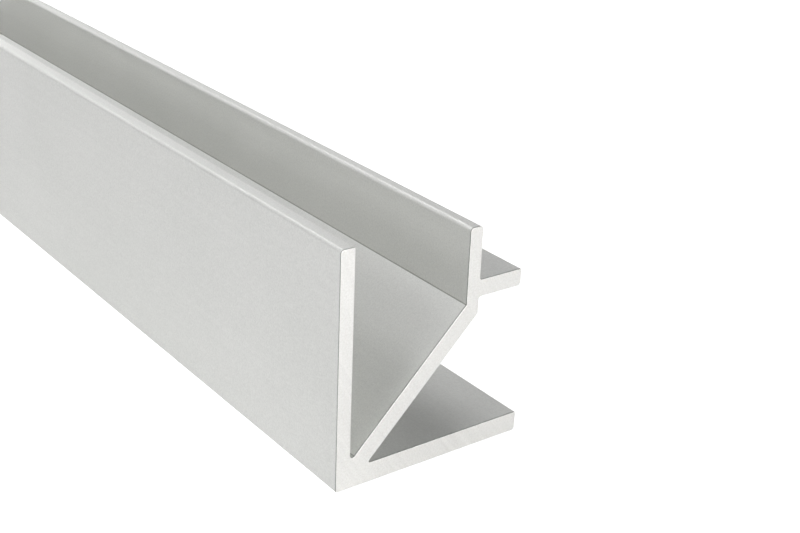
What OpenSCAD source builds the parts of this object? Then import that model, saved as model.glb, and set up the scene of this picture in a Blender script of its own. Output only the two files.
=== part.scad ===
// Aluminium extrusion profile: one straight length of raw stock with a constant section.
// A tall back wall stands on a thicker base. A web at 45 degrees climbs from the foot of the
// back wall to a shorter front wall, which carries a flat ledge pointing outwards.
// Millimetres. X runs across the section, Y along the bar, Z up. The bar stands on its base.

/* [Stock] */
// Length of the bar
bar_length = 1000; // [200:50:3000]

/* [Back wall] */
// Height of the back wall, which is the height of the whole section
section_height = 40; // [39:0.5:48]
// Thickness of the back wall
back_wall_thickness = 2.5; // [2:0.1:3.5]

/* [Base] */
// Width of the base, which is the width of the whole section
section_width = 35.5; // [33.5:0.5:37]
// Thickness of the base
base_thickness = 3.4; // [2.8:0.1:3.8]

/* [Front wall] */
// Distance of the front wall's outer face behind the front edge of the base
front_wall_setback = 9.5; // [9:0.1:11]
// Thickness of the front wall
front_wall_thickness = 2.4; // [2:0.1:3]
// How far the top of the front wall lies under the top of the back wall
front_wall_drop = 1.6; // [1:0.1:3]

/* [Ledge] */
// How far the top of the ledge lies under the top of the back wall
ledge_drop = 10.6; // [8:0.1:11]
// Thickness of the ledge
ledge_thickness = 2.9; // [2:0.1:3.2]
// How far the ledge stands out from the front wall
ledge_reach = 8.4; // [5:0.1:9]

/* [Web] */
// Height at which the web's upper face meets the back wall
web_foot_height = 4.6; // [4.4:0.1:5.2]
// Thickness of the web, square to its faces
web_thickness = 3.1; // [2.5:0.1:3.5]

/* [Corners] */
// Radius of the outer corner between the back wall and the base
heel_radius = 0.3; // [0.2:0.1:2]
// Radius of the outer corner at the top of the back wall
back_top_radius = 0.6; // [0.3:0.1:1.2]
// Radius of the two corners at the top of the front wall
front_top_radius = 0.6; // [0.3:0.1:1]
// Radius of the lower outer corners of the base and of the ledge
toe_radius = 0.6; // [0.2:0.1:1]
// Radius at the bottom of the channel, where the web leaves the back wall
channel_foot_radius = 0.5; // [0.2:0.1:0.8]
// Radius of the inside corners above and below the ledge
ledge_root_radius = 0.4; // [0.2:0.1:0.6]

/* [Hidden] */
$fn = 48;

// The die leaves no truly sharp edge: the radius of the remaining corners
crisp_radius = 0.25;
front_outer_x = section_width - front_wall_setback;
front_inner_x = front_outer_x - front_wall_thickness;
front_top_z = section_height - front_wall_drop;
ledge_top_z = section_height - ledge_drop;
ledge_under_z = ledge_top_z - ledge_thickness;
ledge_end_x = front_outer_x + ledge_reach;
// At 45 degrees each web face climbs one millimetre for each one across: z = x + rise
upper_rise = web_foot_height - back_wall_thickness;
lower_rise = upper_rise - web_thickness * sqrt(2);
notch_x = base_thickness - lower_rise;
web_top_z = front_inner_x + upper_rise;
web_heel_z = front_outer_x + lower_rise;

// The corners of the section, counter-clockwise from the heel: [x, z, radius]
corners = [
  [0, 0, heel_radius],
  [section_width, 0, toe_radius],
  [section_width, base_thickness, crisp_radius],
  [notch_x, base_thickness, crisp_radius],
  [front_outer_x, web_heel_z, crisp_radius],
  [front_outer_x, ledge_under_z, ledge_root_radius],
  [ledge_end_x, ledge_under_z, toe_radius],
  [ledge_end_x, ledge_top_z, crisp_radius],
  [front_outer_x, ledge_top_z, ledge_root_radius],
  [front_outer_x, front_top_z, front_top_radius],
  [front_inner_x, front_top_z, front_top_radius],
  [front_inner_x, web_top_z, crisp_radius],
  [back_wall_thickness, web_foot_height, channel_foot_radius],
  [back_wall_thickness, section_height, crisp_radius],
  [0, section_height, back_top_radius]
];
last = len(corners) - 1;

// The corner itself, and the directions from it to the corners before and after it
function spot(i) = [corners[i][0], corners[i][1]];
function unit(v) = v / norm(v);
function back_way(i) = unit(spot(i == 0 ? last : i - 1) - spot(i));
function on_way(i) = unit(spot(i == last ? 0 : i + 1) - spot(i));
// Half the angle between the two sides that meet in a corner
function half_angle(i) = acos(back_way(i) * on_way(i)) / 2;
// How far from the corner its arc touches the sides, and where the arc is centred
function run(i) = corners[i][2] / tan(half_angle(i));
function arc_centre(i) = spot(i) + unit(back_way(i) + on_way(i)) * corners[i][2] / sin(half_angle(i));
// A corner of the metal points outwards when the outline turns left there
function is_outward(i) = cross(on_way(i), back_way(i)) > 0;
function is_square(i) = abs(back_way(i) * on_way(i)) < 0.01;

// From one touching point to the other: straight across a square corner, whose true round
// comes from a disc, and in short steps along the arc where the web leaves at a slant
arc_steps = 6;
function first_touch(i) = spot(i) + run(i) * back_way(i);
function second_touch(i) = spot(i) + run(i) * on_way(i);
function around(i) = let (
  middle = arc_centre(i),
  start = first_touch(i) - middle,
  sweep = (is_outward(i) ? 1 : -1) * (180 - 2 * half_angle(i))
) [
  for (k = [0 : arc_steps])
    let (turn = sweep * k / arc_steps)
      middle + [start[0] * cos(turn) - start[1] * sin(turn), start[0] * sin(turn) + start[1] * cos(turn)]
];

// The discs that round the square corners pointing outwards, or those pointing inwards
module corner_discs(outward) {
  for (i = [0 : last])
    if (is_square(i) && is_outward(i) == outward)
      translate(arc_centre(i))
        circle(corners[i][2]);
}

// The section: heel at the origin, back wall upwards, base to the right
module section() {
  difference() {
    union() {
      polygon([
        for (i = [0 : last])
          each is_square(i) ? [first_touch(i), second_touch(i)] : around(i)
      ]);
      corner_discs(true);
    }
    corner_discs(false);
  }
}

// The bar, lying along Y and centred on it, with the back wall on the -X side
module profile() {
  color([0.78, 0.79, 0.79])
    translate([-section_width / 2, bar_length / 2, 0])
      rotate([90, 0, 0])
        linear_extrude(bar_length)
          section();
}

profile();
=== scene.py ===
# %% [markdown]
# # One metre of extruded aluminium profile
#
# The real object is a single piece of metal. A hot billet is pushed through a steel die, so the
# bar has the same section all along it. It is then etched and anodised to an even silver satin,
# and sawn to length, which leaves two bright, freshly cut ends.
#
# The CAD bar comes in first. It gives the length. Everything here is in metres unless a line says
# millimetres.

import math

import bmesh
import bpy
from mathutils import Matrix, Vector


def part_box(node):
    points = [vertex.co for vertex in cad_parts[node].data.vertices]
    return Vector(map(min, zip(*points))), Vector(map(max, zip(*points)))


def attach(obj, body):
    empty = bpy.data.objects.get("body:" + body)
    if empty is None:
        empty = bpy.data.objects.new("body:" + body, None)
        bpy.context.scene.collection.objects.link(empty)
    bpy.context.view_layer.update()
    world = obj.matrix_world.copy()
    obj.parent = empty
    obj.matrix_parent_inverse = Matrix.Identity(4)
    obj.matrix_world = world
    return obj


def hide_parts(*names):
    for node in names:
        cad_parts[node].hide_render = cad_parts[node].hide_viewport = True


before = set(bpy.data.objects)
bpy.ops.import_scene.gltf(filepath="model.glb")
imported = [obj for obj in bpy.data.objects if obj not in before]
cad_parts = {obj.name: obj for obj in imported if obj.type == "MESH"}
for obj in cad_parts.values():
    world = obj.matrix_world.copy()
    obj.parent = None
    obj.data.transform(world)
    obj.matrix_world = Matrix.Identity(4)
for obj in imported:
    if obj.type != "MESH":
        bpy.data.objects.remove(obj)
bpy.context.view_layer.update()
MM = 0.001
bar_low, bar_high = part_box("profile")
bar_size = bar_high - bar_low
print("CAD bar, mm:", [round(side / MM, 2) for side in bar_size])

# %% [markdown]
# ## The camera
#
# A camera could be placed by eye and nudged until the lines agree. Here a separate least-squares
# program found it from the bar's straight edges, so its numbers aren't round. They are written as
# where it stands and which way it looks, because then each number means something: a bearing
# to the right of the bar's own direction, a dip below the level, and a slight roll.

# %% A camera beside the near end, looking along the bar
camera_place = Vector((-120.65, -649.32, 117.40)) * MM
camera_bearing, camera_dip, camera_roll = (math.radians(a) for a in (37.199, 23.675, 2.382))
camera_data = bpy.data.cameras.new("studio_camera")
camera_data.sensor_width = 36
camera_data.lens = 63.25
camera_data.clip_start, camera_data.clip_end = 0.01, 50
camera = bpy.data.objects.new("studio_camera", camera_data)
bpy.context.scene.collection.objects.link(camera)
sight = Vector((
    math.sin(camera_bearing) * math.cos(camera_dip),
    math.cos(camera_bearing) * math.cos(camera_dip),
    -math.sin(camera_dip)))
level = Vector((math.cos(camera_bearing), -math.sin(camera_bearing), 0))
upright = level.cross(sight)
right = level * math.cos(camera_roll) + upright * math.sin(camera_roll)
up = right.cross(sight)
turn = Matrix((right, up, -sight)).transposed().to_4x4()
camera.matrix_world = Matrix.Translation(camera_place) @ turn
bpy.context.scene.camera = camera
near_end = Vector((0, bar_low.y, 0))
print("camera stands", round((camera_place - near_end).length, 3), "m from the near end")

# %% [markdown]
# ## Floor and light
#
# A bare metal bar looks like whatever surrounds it, so the studio matters more than it would
# for wood or cloth. This is a white table in a dark room, before a white screen. The table lights
# the bar from below. The screen, and the lift that makes the table plain white, reach the camera
# only, so they add no light to the metal.

# %% A pale floor that the camera sees as plain white
FLOOR_LIFT = 1.0
HALF_TABLE = 4.0
TABLE_TONE = 0.80
TABLE_GAP = 0.02 * MM
floor_data = bpy.data.meshes.new("floor")
turning = ((-1, -1), (1, -1), (1, 1), (-1, 1))
floor_data.from_pydata(
    [(x * HALF_TABLE, y * HALF_TABLE, 0) for x, y in turning], [], [(0, 1, 2, 3)])
floor = bpy.data.objects.new("floor", floor_data)
floor.location.z = bar_low.z - TABLE_GAP
bpy.context.scene.collection.objects.link(floor)
floor_finish = bpy.data.materials.new("white_table")
floor_finish.use_nodes = True
floor_tree = floor_finish.node_tree
floor_shader = floor_tree.nodes["Principled BSDF"]
floor_shader.inputs["Base Color"].default_value = (TABLE_TONE, TABLE_TONE, TABLE_TONE, 1)
floor_shader.inputs["Roughness"].default_value = 0.6
floor_shader.inputs["Specular IOR Level"].default_value = 0.2
floor_shader.inputs["Emission Color"].default_value = (1, 1, 1, 1)
seen_directly = floor_tree.nodes.new("ShaderNodeLightPath")
lift = floor_tree.nodes.new("ShaderNodeMath")
lift.operation = "MULTIPLY"
lift.inputs[1].default_value = FLOOR_LIFT
floor_tree.links.new(seen_directly.outputs["Is Camera Ray"], lift.inputs[0])
floor_tree.links.new(lift.outputs["Value"], floor_shader.inputs["Emission Strength"])
floor_data.materials.append(floor_finish)
print("white table:", 2 * HALF_TABLE, "m square")

# %% [markdown]
# ### Soft boxes
#
# Each face of the bar mirrors one direction, so each box has a job: the low one in front lights
# the sawn end, the ones behind give the ledge and the tops their sheen, and the ones on the left
# light the table that the tall back wall reflects. Wide boxes give even faces, and small ones
# keep a highlight thin. The watts could be set by eye, one box at a time. Here many trial boxes
# were each rendered alone, and a separate least-squares program chose among them and set the watts,
# so that most faces come close to the tones wanted. They are the fit's results, not round choices.

# %% Soft boxes: bearing and height in degrees, watts, and whether the box is wide or small
WIDE, SMALL = (1.2, 0.8), (0.6, 0.4)
SOFT_BOXES = {
    "front_at_the_table": (180, 4, 33.8, WIDE),
    "left_low": (275, 20, 5.3, SMALL),
    "left_front": (260, 34, 4.7, SMALL),
    "left_middle": (275, 42, 4.2, SMALL),
    "left_high": (270, 58, 3.6, SMALL),
    "overhead": (30, 70, 2.7, SMALL),
    "back_low": (0, 10, 6.7, WIDE),
    "back_left_high": (331, 48, 1.4, SMALL),
    "back_right_middle": (20, 45, 3.0, SMALL),
    "back_right_low": (45, 10, 2.3, WIDE),
}
BOX_DISTANCE = 1.7
lit_point = Vector((0, bar_low.y + 50 * MM, 20 * MM))
for box_name, (bearing, height, watts, box_size) in SOFT_BOXES.items():
    bearing, height = math.radians(bearing), math.radians(height)
    reach = math.cos(height)
    aim = Vector((math.sin(bearing) * reach, math.cos(bearing) * reach, math.sin(height)))
    box_data = bpy.data.lights.new(box_name, "AREA")
    box_data.shape = "RECTANGLE"
    box_data.size, box_data.size_y = box_size
    box_data.energy = watts
    box = bpy.data.objects.new(box_name, box_data)
    facing = aim.to_track_quat("Z", "Y").to_matrix().to_4x4()
    box.matrix_world = Matrix.Translation(lit_point + aim * BOX_DISTANCE) @ facing
    bpy.context.scene.collection.objects.link(box)
room = bpy.data.worlds.new("dark_room_with_a_white_screen")
room.use_nodes = True
screen_seen = room.node_tree.nodes.new("ShaderNodeLightPath")
background = room.node_tree.nodes["Background"]
background.inputs["Color"].default_value = (1, 1, 1, 1)
room.node_tree.links.new(screen_seen.outputs["Is Camera Ray"], background.inputs["Strength"])
bpy.context.scene.world = room
bpy.context.scene.view_settings.view_transform = "Standard"
print(len(SOFT_BOXES), "soft boxes")

# %% [markdown]
# ## The section of the die
#
# The opening of the die is the whole shape of the bar, so it is worth stating it the way a die
# maker does: a list of corners, each with its own radius. Going round from the heel, the base
# runs to the front edge, the web climbs back at 45 degrees, and the ledge and the front wall
# follow. The back wall closes the loop.

# %% The die's corners: across and up in millimetres, then the radius
SECTION_WIDTH, SECTION_HEIGHT = 35.5, 40.0
BACK_WALL, FRONT_WALL, BASE, WEB, LEDGE = 2.5, 2.4, 3.4, 3.1, 2.9
SETBACK, WALL_DROP, LEDGE_DROP, LEDGE_REACH, WEB_FOOT = 9.5, 1.6, 10.6, 8.4, 4.6
CRISP, HEEL, ROOT, FOOT, ROUND = 0.25, 0.3, 0.4, 0.5, 0.6
FRONT_OUT = SECTION_WIDTH - SETBACK
FRONT_IN = FRONT_OUT - FRONT_WALL
FRONT_TOP = SECTION_HEIGHT - WALL_DROP
LEDGE_TOP = SECTION_HEIGHT - LEDGE_DROP
LEDGE_END = FRONT_OUT + LEDGE_REACH
# At 45 degrees each face of the web climbs a millimetre for each one across
UPPER_RISE = WEB_FOOT - BACK_WALL
LOWER_RISE = UPPER_RISE - WEB * math.sqrt(2)
DIE_CORNERS = [
    (0, 0, HEEL),
    (SECTION_WIDTH, 0, ROUND),
    (SECTION_WIDTH, BASE, CRISP),
    (BASE - LOWER_RISE, BASE, CRISP),
    (FRONT_OUT, FRONT_OUT + LOWER_RISE, CRISP),
    (FRONT_OUT, LEDGE_TOP - LEDGE, ROOT),
    (LEDGE_END, LEDGE_TOP - LEDGE, ROUND),
    (LEDGE_END, LEDGE_TOP, CRISP),
    (FRONT_OUT, LEDGE_TOP, ROOT),
    (FRONT_OUT, FRONT_TOP, ROUND),
    (FRONT_IN, FRONT_TOP, ROUND),
    (FRONT_IN, FRONT_IN + UPPER_RISE, CRISP),
    (BACK_WALL, WEB_FOOT, FOOT),
    (BACK_WALL, SECTION_HEIGHT, CRISP),
    (0, SECTION_HEIGHT, ROUND),
]
print(len(DIE_CORNERS), "corners in the die")

# %% The corners as a loop of edges, with the radius stored on each point
die = bpy.data.meshes.new("die_corners")
count = len(DIE_CORNERS)
die.from_pydata(
    [((across - SECTION_WIDTH / 2) * MM, rise * MM, 0) for across, rise, radius in DIE_CORNERS],
    [(i, (i + 1) % count) for i in range(count)], [])
die_radius = die.attributes.new("corner_radius", "FLOAT", "POINT")
die_radius.data.foreach_set("value", [radius * MM for across, rise, radius in DIE_CORNERS])
print("the die's opening is", SECTION_WIDTH, "by", SECTION_HEIGHT, "mm")

# %% [markdown]
# ## Pushing the bar out of the die
#
# The shape follows one rule: round the corners, fill the outline, push it along. That is a job
# for Geometry Nodes, where each of those is one node and the sizes stay inputs that can be
# changed. The alternative, a hand-made mesh, would need every arc worked out by hand.


# %% Small helpers for building node trees
def add(tree, kind, label=None, **settings):
    node = tree.nodes.new(kind)
    if label:
        node.label = label
    for name, value in settings.items():
        setattr(node, name, value)
    return node


def socket_in(tree, name, kind, default=None):
    sock = tree.interface.new_socket(name=name, in_out="INPUT", socket_type=kind)
    if default is not None:
        sock.default_value = default
    return sock


def socket_out(tree, name, kind):
    return tree.interface.new_socket(name=name, in_out="OUTPUT", socket_type=kind)


# %% Round the corners and fill the outline
def filled_outline(tree, given):
    link = tree.links.new
    outline = add(tree, "GeometryNodeMeshToCurve", "corners to outline")
    link(given.outputs["Die corners"], outline.inputs["Mesh"])
    radius = add(tree, "GeometryNodeInputNamedAttribute", "each corner's radius", data_type="FLOAT")
    radius.inputs["Name"].default_value = "corner_radius"
    rounded = add(tree, "GeometryNodeFilletCurve", "round the corners", mode="POLY")
    link(outline.outputs["Curve"], rounded.inputs["Curve"])
    link(given.outputs["Arc steps"], rounded.inputs["Count"])
    link(radius.outputs["Attribute"], rounded.inputs["Radius"])
    face = add(tree, "GeometryNodeFillCurve", "fill the outline", mode="NGONS")
    link(rounded.outputs["Curve"], face.inputs["Curve"])
    return face.outputs["Mesh"]


# %% Push it along, and weld a second face onto the near end
WELD = 0.001 * MM


def times(tree, label, source, factor):
    node = add(tree, "ShaderNodeMath", label, operation="MULTIPLY")
    node.inputs[1].default_value = factor
    tree.links.new(source, node.inputs[0])
    return node.outputs["Value"]


def pushed_along(tree, given, face):
    link = tree.links.new
    push = add(tree, "ShaderNodeCombineXYZ", "along the bar")
    link(times(tree, "backwards", given.outputs["Bar length"], -1), push.inputs["Z"])
    pushed = add(tree, "GeometryNodeExtrudeMesh", "push it along", mode="FACES")
    pushed.inputs["Individual"].default_value = False
    link(face, pushed.inputs["Mesh"])
    link(push.outputs["Vector"], pushed.inputs["Offset"])
    near = add(tree, "GeometryNodeFlipFaces", "the near end")
    link(face, near.inputs["Mesh"])
    whole = add(tree, "GeometryNodeJoinGeometry")
    link(pushed.outputs["Mesh"], whole.inputs["Geometry"])
    link(near.outputs["Mesh"], whole.inputs["Geometry"])
    closed = add(tree, "GeometryNodeMergeByDistance", "weld the near end on")
    closed.inputs["Distance"].default_value = WELD
    link(whole.outputs["Geometry"], closed.inputs["Geometry"])
    return closed.outputs["Geometry"]


# %% Stand the bar on its base, centred on its length
def stood_up(tree, given, lying):
    link = tree.links.new
    stand = add(tree, "GeometryNodeTransform", "stand it on its base")
    stand.inputs["Rotation"].default_value = (math.pi / 2, 0, 0)
    centre = add(tree, "ShaderNodeCombineXYZ", "centred on its length")
    link(times(tree, "half the length", given.outputs["Bar length"], -0.5), centre.inputs["Y"])
    link(centre.outputs["Vector"], stand.inputs["Translation"])
    link(lying, stand.inputs["Geometry"])
    return stand.outputs["Geometry"]


# %% Skin everywhere, then the saw's finish on faces that look along the bar
def finished_bar(tree, given, standing):
    link = tree.links.new
    normal = add(tree, "GeometryNodeInputNormal")
    split = add(tree, "ShaderNodeSeparateXYZ")
    link(normal.outputs["Normal"], split.inputs["Vector"])
    steep = add(tree, "ShaderNodeMath", "faces along the bar?", operation="ABSOLUTE")
    link(split.outputs["Y"], steep.inputs[0])
    is_end = add(tree, "FunctionNodeCompare", "a sawn end?", data_type="FLOAT")
    is_end.operation = "GREATER_THAN"
    is_end.inputs["B"].default_value = 0.5
    link(steep.outputs["Value"], is_end.inputs["A"])
    real = add(tree, "GeometryNodeRealizeInstances")
    link(standing, real.inputs["Geometry"])
    skin = add(tree, "GeometryNodeSetMaterial", "skin everywhere")
    link(real.outputs["Geometry"], skin.inputs["Geometry"])
    link(given.outputs["Skin"], skin.inputs["Material"])
    ends = add(tree, "GeometryNodeSetMaterial", "saw finish on the ends")
    link(skin.outputs["Geometry"], ends.inputs["Geometry"])
    link(is_end.outputs["Result"], ends.inputs["Selection"])
    link(given.outputs["Sawn face"], ends.inputs["Material"])
    return ends.outputs["Geometry"]


# %% The whole tree, with its named inputs
def extrusion_tree():
    tree = bpy.data.node_groups.new("extrude_through_die", "GeometryNodeTree")
    socket_in(tree, "Die corners", "NodeSocketGeometry")
    socket_in(tree, "Bar length", "NodeSocketFloat", 1.0)
    socket_in(tree, "Arc steps", "NodeSocketInt", 8)
    socket_in(tree, "Skin", "NodeSocketMaterial")
    socket_in(tree, "Sawn face", "NodeSocketMaterial")
    socket_out(tree, "Bar", "NodeSocketGeometry")
    given, result = add(tree, "NodeGroupInput"), add(tree, "NodeGroupOutput")
    lying = pushed_along(tree, given, filled_outline(tree, given))
    standing = stood_up(tree, given, lying)
    tree.links.new(finished_bar(tree, given, standing), result.inputs["Bar"])
    return tree


extrusion = extrusion_tree()
print("extrude_through_die:", len(extrusion.nodes), "nodes")

# %% [markdown]
# ## Finishes
#
# Two finishes share one metal. The skin is etched before it is anodised, so it has no polish
# left: a fine even grain that scatters the light, over the faint lines that the die drags along
# the bar. The sawn ends are bare metal, paler and warmer, with the arcs of the saw blade.
#
# The grain is on both. It and the mask beside a cut, for torn skin and painted edge shade, are
# shader groups with named sockets, built once and placed in a finish with that finish's own values.
# Scanned textures would be quicker, but noise has no seams, repeats nowhere, and its size is stated
# in grains per metre.

# %% Placing a group, and stretching a noise
def group_node(tree, group, **values):
    node = add(tree, "ShaderNodeGroup", node_tree=group)
    for name, value in values.items():
        node.inputs[name.replace("_", " ")].default_value = value
    return node


def stretched(tree, source, low, high):
    """Spread the part of a noise that is really used, low to high, over 0 to 1."""
    node = add(tree, "ShaderNodeMapRange", "stretch the contrast")
    node.inputs["From Min"].default_value = low
    node.inputs["From Max"].default_value = high
    tree.links.new(source, node.inputs["Value"])
    return node.outputs["Result"]


# %% Darkening by a tone, and grading a mask
def multiplied(tree, label, source, tone, factor):
    """Multiply a colour by a tone (a socket or a colour), as far as the factor says."""
    node = add(tree, "ShaderNodeMix", label, data_type="RGBA", blend_type="MULTIPLY")
    tree.links.new(source, node.inputs["A"])
    if isinstance(tone, tuple):
        node.inputs["B"].default_value = tone
    else:
        tree.links.new(tone, node.inputs["B"])
    if isinstance(factor, (int, float)):
        node.inputs["Factor"].default_value = factor
    else:
        tree.links.new(factor, node.inputs["Factor"])
    return node.outputs["Result"]


def graded(tree, label, source, low, high):
    """Turn a mask of 0 to 1 into a value from low to high."""
    node = add(tree, "ShaderNodeMapRange", label)
    node.inputs["To Min"].default_value = low
    node.inputs["To Max"].default_value = high
    tree.links.new(source, node.inputs["Value"])
    return node.outputs["Result"]


# %% A normal from grain and marks
RELIEF_DEPTH = 0.04 * MM


def relief_normal(tree, label, marks, share, grain, strength):
    """A normal from the grain's height plus a share of the marks' height."""
    relief = add(tree, "ShaderNodeMath", label, operation="MULTIPLY_ADD")
    relief.inputs[1].default_value = share
    tree.links.new(marks, relief.inputs[0])
    tree.links.new(grain, relief.inputs[2])
    bump = add(tree, "ShaderNodeBump")
    bump.inputs["Strength"].default_value = strength
    bump.inputs["Distance"].default_value = RELIEF_DEPTH
    tree.links.new(relief.outputs[0], bump.inputs["Height"])
    return bump.outputs["Normal"]


# %% Etched grain: a height for bump and a mask for tone
def grain_group():
    tree = bpy.data.node_groups.new("etched_grain", "ShaderNodeTree")
    socket_in(tree, "Position", "NodeSocketVector")
    socket_in(tree, "Grains per metre", "NodeSocketFloat", 3000)
    socket_out(tree, "Height", "NodeSocketFloat")
    socket_out(tree, "Tone", "NodeSocketFloat")
    given, result = add(tree, "NodeGroupInput"), add(tree, "NodeGroupOutput")
    fine = add(tree, "ShaderNodeTexNoise", "single grains")
    fine.inputs["Detail"].default_value = 2
    fine.inputs["Roughness"].default_value = 0.6
    coarse = add(tree, "ShaderNodeTexNoise", "clusters of grains")
    coarse.inputs["Detail"].default_value = 1
    fewer = add(tree, "ShaderNodeMath", "clusters are larger", operation="MULTIPLY")
    fewer.inputs[1].default_value = 0.55
    blend = add(tree, "ShaderNodeMix", "grains and clusters", data_type="FLOAT")
    blend.inputs["Factor"].default_value = 0.4
    link = tree.links.new
    link(given.outputs["Position"], fine.inputs["Vector"])
    link(given.outputs["Position"], coarse.inputs["Vector"])
    link(given.outputs["Grains per metre"], fine.inputs["Scale"])
    link(given.outputs["Grains per metre"], fewer.inputs[0])
    link(fewer.outputs[0], coarse.inputs["Scale"])
    link(fine.outputs["Fac"], blend.inputs["A"])
    link(coarse.outputs["Fac"], blend.inputs["B"])
    link(blend.outputs["Result"], result.inputs["Height"])
    link(stretched(tree, blend.outputs["Result"], 0.36, 0.64), result.inputs["Tone"])
    return tree


GRAIN = grain_group()
print("etched_grain:", len(GRAIN.nodes), "nodes")


# %% The cut edge: a mask that is 1 within a hair of either sawn end
def cut_edge_group():
    tree = bpy.data.node_groups.new("cut_edge", "ShaderNodeTree")
    socket_in(tree, "Position", "NodeSocketVector")
    socket_in(tree, "Half length", "NodeSocketFloat", 0.5)
    socket_in(tree, "Width", "NodeSocketFloat", 0.0002)
    socket_in(tree, "Raggedness", "NodeSocketFloat", 0.5)
    socket_out(tree, "Mask", "NodeSocketFloat")
    given, result = add(tree, "NodeGroupInput"), add(tree, "NodeGroupOutput")
    link = tree.links.new
    split = add(tree, "ShaderNodeSeparateXYZ")
    link(given.outputs["Position"], split.inputs["Vector"])
    along = add(tree, "ShaderNodeMath", "distance from the middle", operation="ABSOLUTE")
    link(split.outputs["Y"], along.inputs[0])
    inward = add(tree, "ShaderNodeMath", "distance from the end", operation="SUBTRACT")
    link(given.outputs["Half length"], inward.inputs[0])
    link(along.outputs[0], inward.inputs[1])
    ragged = add(tree, "ShaderNodeTexNoise", "the saw tears unevenly")
    ragged.inputs["Scale"].default_value = 1500
    ragged.inputs["Detail"].default_value = 1
    link(given.outputs["Position"], ragged.inputs["Vector"])
    swing = add(tree, "ShaderNodeMath", operation="MULTIPLY_ADD")
    swing.inputs[2].default_value = 1
    centred = add(tree, "ShaderNodeMath", operation="SUBTRACT")
    centred.inputs[1].default_value = 0.5
    link(ragged.outputs["Fac"], centred.inputs[0])
    link(centred.outputs[0], swing.inputs[0])
    link(given.outputs["Raggedness"], swing.inputs[1])
    width = add(tree, "ShaderNodeMath", "a wandering width", operation="MULTIPLY")
    link(given.outputs["Width"], width.inputs[0])
    link(swing.outputs[0], width.inputs[1])
    fade = add(tree, "ShaderNodeMapRange", "1 at the end, 0 past the width")
    fade.interpolation_type = "SMOOTHSTEP"
    fade.inputs["To Min"].default_value = 1
    fade.inputs["To Max"].default_value = 0
    link(inward.outputs[0], fade.inputs["Value"])
    link(width.outputs[0], fade.inputs["From Max"])
    link(fade.outputs["Result"], result.inputs["Mask"])
    return tree


CUT_EDGE = cut_edge_group()
print("cut_edge:", len(CUT_EDGE.nodes), "nodes")


# %% [markdown]
# ### The skin
#
# The die leaves lines that run the whole length, so they depend on the place across the section
# and not on the place along it: a Mapping node squeezes the length almost to nothing before the
# noise reads it. The tone changes by a few per cent only. An anodised skin that varied more
# would look dirty.
#
# Anodising covers the metal with a clear oxide. It is assumed to be slightly cloudy, so that it
# scatters some light evenly, because in trials a part-metal skin brought the tones nearer.
# So the skin isn't wholly metallic, and the channel's inner faces
# stay light where pure metal would go dark. Two darker marks are on it: a thin dark line beside
# each cut, partly where the saw tore the skin and partly painted edge shade, and painted shade in
# the inside corners.

# %% The skin's lines and clouds, in features per metre
LINES, CLOUDS = 900, 40
LENGTH_SQUEEZE = 0.002


def die_lines(tree, place):
    squeeze = add(tree, "ShaderNodeMapping", "the same all along the bar")
    squeeze.inputs["Scale"].default_value = (1, LENGTH_SQUEEZE, 1)
    tree.links.new(place, squeeze.inputs["Vector"])
    drag = add(tree, "ShaderNodeTexNoise", "die lines")
    drag.inputs["Scale"].default_value = LINES
    drag.inputs["Detail"].default_value = 3
    tree.links.new(squeeze.outputs["Vector"], drag.inputs["Vector"])
    return drag.outputs["Fac"]


def anodising_clouds(tree, place):
    cloud = add(tree, "ShaderNodeTexNoise", "slow changes in the anodising")
    cloud.inputs["Scale"].default_value = CLOUDS
    cloud.inputs["Detail"].default_value = 2
    tree.links.new(place, cloud.inputs["Vector"])
    return stretched(tree, cloud.outputs["Fac"], 0.35, 0.65)


# %% Where the skin is darker: torn skin and painted shade beside the cuts, painted shade in corners
# The thin dark band beside each cut is partly skin torn by the saw and partly painted edge shade
TORN_SKIN_AND_EDGE_SHADE_WIDTH = 0.36 * MM


# Masks for torn skin and painted edge shade beside the cuts, and painted shade in the inside
# corners
def torn_skin_and_shade_masks(tree, place):
    edge = group_node(
        tree, CUT_EDGE, Half_length=bar_size.y / 2, Width=TORN_SKIN_AND_EDGE_SHADE_WIDTH, Raggedness=0.5)
    tree.links.new(place, edge.inputs["Position"])
    corner = add(tree, "ShaderNodeAttribute", "inside corners", attribute_name="hollow_corner")
    return edge.outputs["Mask"], corner.outputs["Fac"]


# %% The etched and anodised skin
SKIN_METAL = 0.8
SKIN_GRAINS = 5600
SKIN_DARK, SKIN_LIGHT = (0.862, 0.865, 0.847, 1), (0.972, 0.975, 0.955, 1)
CLOUD_TONE = (0.975, 0.978, 0.975, 1)
# Darker tones: torn skin with painted edge shade beside the cuts, painted shade in the inside
# corners
TORN_SKIN_AND_EDGE_SHADE_TONE, INSIDE_CORNER_SHADE_TONE = (0.36, 0.355, 0.34, 1), (0.55, 0.55, 0.53, 1)


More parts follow.
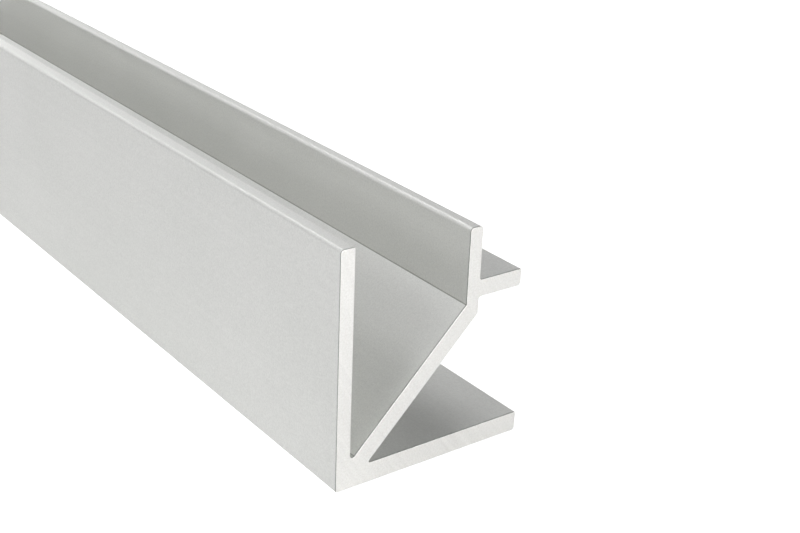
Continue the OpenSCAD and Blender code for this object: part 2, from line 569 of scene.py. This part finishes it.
def skin_finish():
    """The skin: grain, then die lines, clouds, torn skin and painted shade, each multiplied on."""
    finish = bpy.data.materials.new("etched_anodised_skin")
    finish.use_nodes = True
    tree = finish.node_tree
    link = tree.links.new
    shader = tree.nodes["Principled BSDF"]
    shader.inputs["Metallic"].default_value = SKIN_METAL
    place = add(tree, "ShaderNodeTexCoord").outputs["Object"]
    grain = group_node(tree, GRAIN, Grains_per_metre=SKIN_GRAINS)
    link(place, grain.inputs["Position"])

    drag = die_lines(tree, place)
    lines = stretched(tree, drag, 0.3, 0.7)
    clouds = anodising_clouds(tree, place)
    torn_skin_and_edge_shade_mask, corner_mask = torn_skin_and_shade_masks(tree, place)

    tone = add(tree, "ShaderNodeMix", "grain", data_type="RGBA")
    tone.inputs["A"].default_value = SKIN_DARK
    tone.inputs["B"].default_value = SKIN_LIGHT
    link(grain.outputs["Tone"], tone.inputs["Factor"])
    faint = graded(tree, "a per cent or two", lines, 0.985, 1.0)
    lined = multiplied(tree, "lines along the bar", tone.outputs["Result"], faint, 1)
    clouded = multiplied(tree, "slow changes", lined, CLOUD_TONE, clouds)
    # Beside the cuts: torn skin and painted edge shade
    torn_and_edge_shaded = multiplied(tree, "torn skin and painted edge shade", clouded, TORN_SKIN_AND_EDGE_SHADE_TONE, torn_skin_and_edge_shade_mask)
    # In the inside corners: painted shade
    torn_and_shaded = multiplied(tree, "painted shade in the inside corners", torn_and_edge_shaded, INSIDE_CORNER_SHADE_TONE, corner_mask)
    link(torn_and_shaded, shader.inputs["Base Color"])
    satin = graded(tree, "satin, a little uneven", grain.outputs["Tone"], 0.47, 0.53)
    link(satin, shader.inputs["Roughness"])
    uneven = relief_normal(
        tree, "grain and lines together", drag, 0.25, grain.outputs["Height"], 0.7)
    link(uneven, shader.inputs["Normal"])
    return finish


SKIN = skin_finish()
print("finish:", SKIN.name, "with", len(SKIN.node_tree.nodes), "nodes")

# %% [markdown]
# ### The sawn ends
#
# A circular saw leaves arcs. Their centre is the saw's own, well outside the section, so across
# a section this small they look like slightly bent parallel lines. A noise that reads only the
# distance from that centre gives them, some deeper than others. A ring texture would space them
# evenly, which no saw does.

# %% The sawn ends
SAWN_GRAINS, TOOTH_MARKS = 5200, 1600
SAWN_DARK, SAWN_LIGHT = (0.895, 0.888, 0.860, 1), (0.995, 0.990, 0.970, 1)
ARC_TONE = (0.97, 0.97, 0.97, 1)
SAW_RADIUS = 150 * MM


def sawn_finish():
    finish = bpy.data.materials.new("bare_sawn_end")
    finish.use_nodes = True
    tree = finish.node_tree
    link = tree.links.new
    shader = tree.nodes["Principled BSDF"]
    shader.inputs["Metallic"].default_value = 1.0
    place = add(tree, "ShaderNodeTexCoord").outputs["Object"]
    grain = group_node(tree, GRAIN, Grains_per_metre=SAWN_GRAINS)
    link(place, grain.inputs["Position"])

    from_saw = add(tree, "ShaderNodeVectorMath", "distance from the saw's centre")
    from_saw.operation = "DISTANCE"
    from_saw.inputs[1].default_value = (SAW_RADIUS * 0.8, -bar_size.y / 2, SAW_RADIUS * 0.6)
    link(place, from_saw.inputs[0])
    teeth = add(tree, "ShaderNodeTexNoise", "tooth marks", noise_dimensions="1D")
    teeth.inputs["Scale"].default_value = TOOTH_MARKS
    teeth.inputs["Detail"].default_value = 2
    link(from_saw.outputs["Value"], teeth.inputs["W"])
    arcs = stretched(tree, teeth.outputs["Fac"], 0.3, 0.7)

    tone = add(tree, "ShaderNodeMix", "grain", data_type="RGBA")
    tone.inputs["A"].default_value = SAWN_DARK
    tone.inputs["B"].default_value = SAWN_LIGHT
    link(grain.outputs["Tone"], tone.inputs["Factor"])
    arced = multiplied(tree, "arcs of the saw", tone.outputs["Result"], ARC_TONE, arcs)
    link(arced, shader.inputs["Base Color"])
    dull = graded(tree, "the grooves between arcs are duller", arcs, 0.58, 0.52)
    link(dull, shader.inputs["Roughness"])
    uneven = relief_normal(
        tree, "grain and arcs together", teeth.outputs["Fac"], 0.5, grain.outputs["Height"], 0.5)
    link(uneven, shader.inputs["Normal"])
    return finish


SAWN = sawn_finish()
print("finish:", SAWN.name, "with", len(SAWN.node_tree.nodes), "nodes")

# %% [markdown]
# ## Making the bar
#
# The tree runs as a modifier on the corners. Its named inputs are set before it is first
# evaluated, and the result is kept as a plain mesh, so that nothing live is left behind and the
# same script always gives the same bar.

# %% Push the bar through the die
ARC_STEPS = 8
die_object = bpy.data.objects.new("die_corners", die)
bpy.context.scene.collection.objects.link(die_object)
press = die_object.modifiers.new("press", "NODES")
press.node_group = extrusion
given = {s.name: s.identifier for s in extrusion.interface.items_tree if s.in_out == "INPUT"}
press[given["Bar length"]] = bar_size.y
press[given["Arc steps"]] = ARC_STEPS
press[given["Skin"]] = SKIN
press[given["Sawn face"]] = SAWN
evaluated = die_object.evaluated_get(bpy.context.evaluated_depsgraph_get())
bar_mesh = bpy.data.meshes.new_from_object(evaluated)
bar_mesh.name = "extruded_bar"
bpy.data.objects.remove(die_object)
bar = bpy.data.objects.new("extruded_bar", bar_mesh)
bpy.context.scene.collection.objects.link(bar)
print("bar:", len(bar_mesh.vertices), "points,", len(bar_mesh.polygons), "faces")

# %% [markdown]
# ## Breaking the sawn edges
#
# A fresh cut is deburred with a file or a brush, which rounds its edge by a tenth of a
# millimetre. It is tiny, but without it the edge would catch no light at all. A Bevel modifier
# over the whole bar would also cut into the die's own corners, so only the edges between skin and
# sawn face are bevelled. They are found by the change of material.

# %% Bevel the edges between skin and sawn face
SAW_EDGE = 0.10 * MM
SAW_EDGE_STEPS = 2
shape = bmesh.new()
shape.from_mesh(bar_mesh)
bmesh.ops.recalc_face_normals(shape, faces=shape.faces)
rim = [e for e in shape.edges if len(e.link_faces) == 2
       and e.link_faces[0].material_index != e.link_faces[1].material_index]
bmesh.ops.bevel(
    shape, geom=rim, offset=SAW_EDGE, segments=SAW_EDGE_STEPS, profile=0.5, affect="EDGES",
    material=-1)
print("open edges:", sum(1 for e in shape.edges if len(e.link_faces) != 2), "rim edges:", len(rim))
print("volume, cm3:", round(shape.calc_volume() * 1e6, 2))

# %% [markdown]
# ## Marking the inside corners
#
# The skin's finish darkens the inside corners with painted shade, so it has to know where they
# are. Their rounds are made of narrow strips that fold inwards along both sides, and that is a rule
# the mesh itself can answer. Painting them by hand would have to be done again for each new
# section.

# %% Store which strips lie in an inside corner, and set the shading
WIDEST_STRIP = 0.2 * MM
SHARP_FROM = math.radians(35)
# Marks the inside corners, which the skin darkens with painted shade
hollow = shape.loops.layers.float.new("hollow_corner")
hollow_faces = 0
for strip in shape.faces:
    long_sides = [e for e in strip.edges if e.calc_length() > 0.9 * bar_size.y]
    narrow = strip.calc_area() < WIDEST_STRIP * bar_size.y
    if narrow and len(long_sides) == 2 and not any(e.is_convex for e in long_sides):
        hollow_faces += 1
        for loop in strip.loops:
            loop[hollow] = 1.0
print("faces in the inside corners:", hollow_faces)
shape.to_mesh(bar_mesh)
shape.free()
bar_mesh.shade_smooth()
bar_mesh.set_sharp_from_angle(angle=SHARP_FROM)
weigh = bar.modifiers.new("flat_faces_win", "WEIGHTED_NORMAL")
weigh.keep_sharp = True
weigh.weight = 100
print("triangles:", sum(len(p.vertices) - 2 for p in bar_mesh.polygons))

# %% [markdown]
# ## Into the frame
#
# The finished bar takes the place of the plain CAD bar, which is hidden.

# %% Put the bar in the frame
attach(bar, "root")
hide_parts("profile")
print("the bar replaces profile")
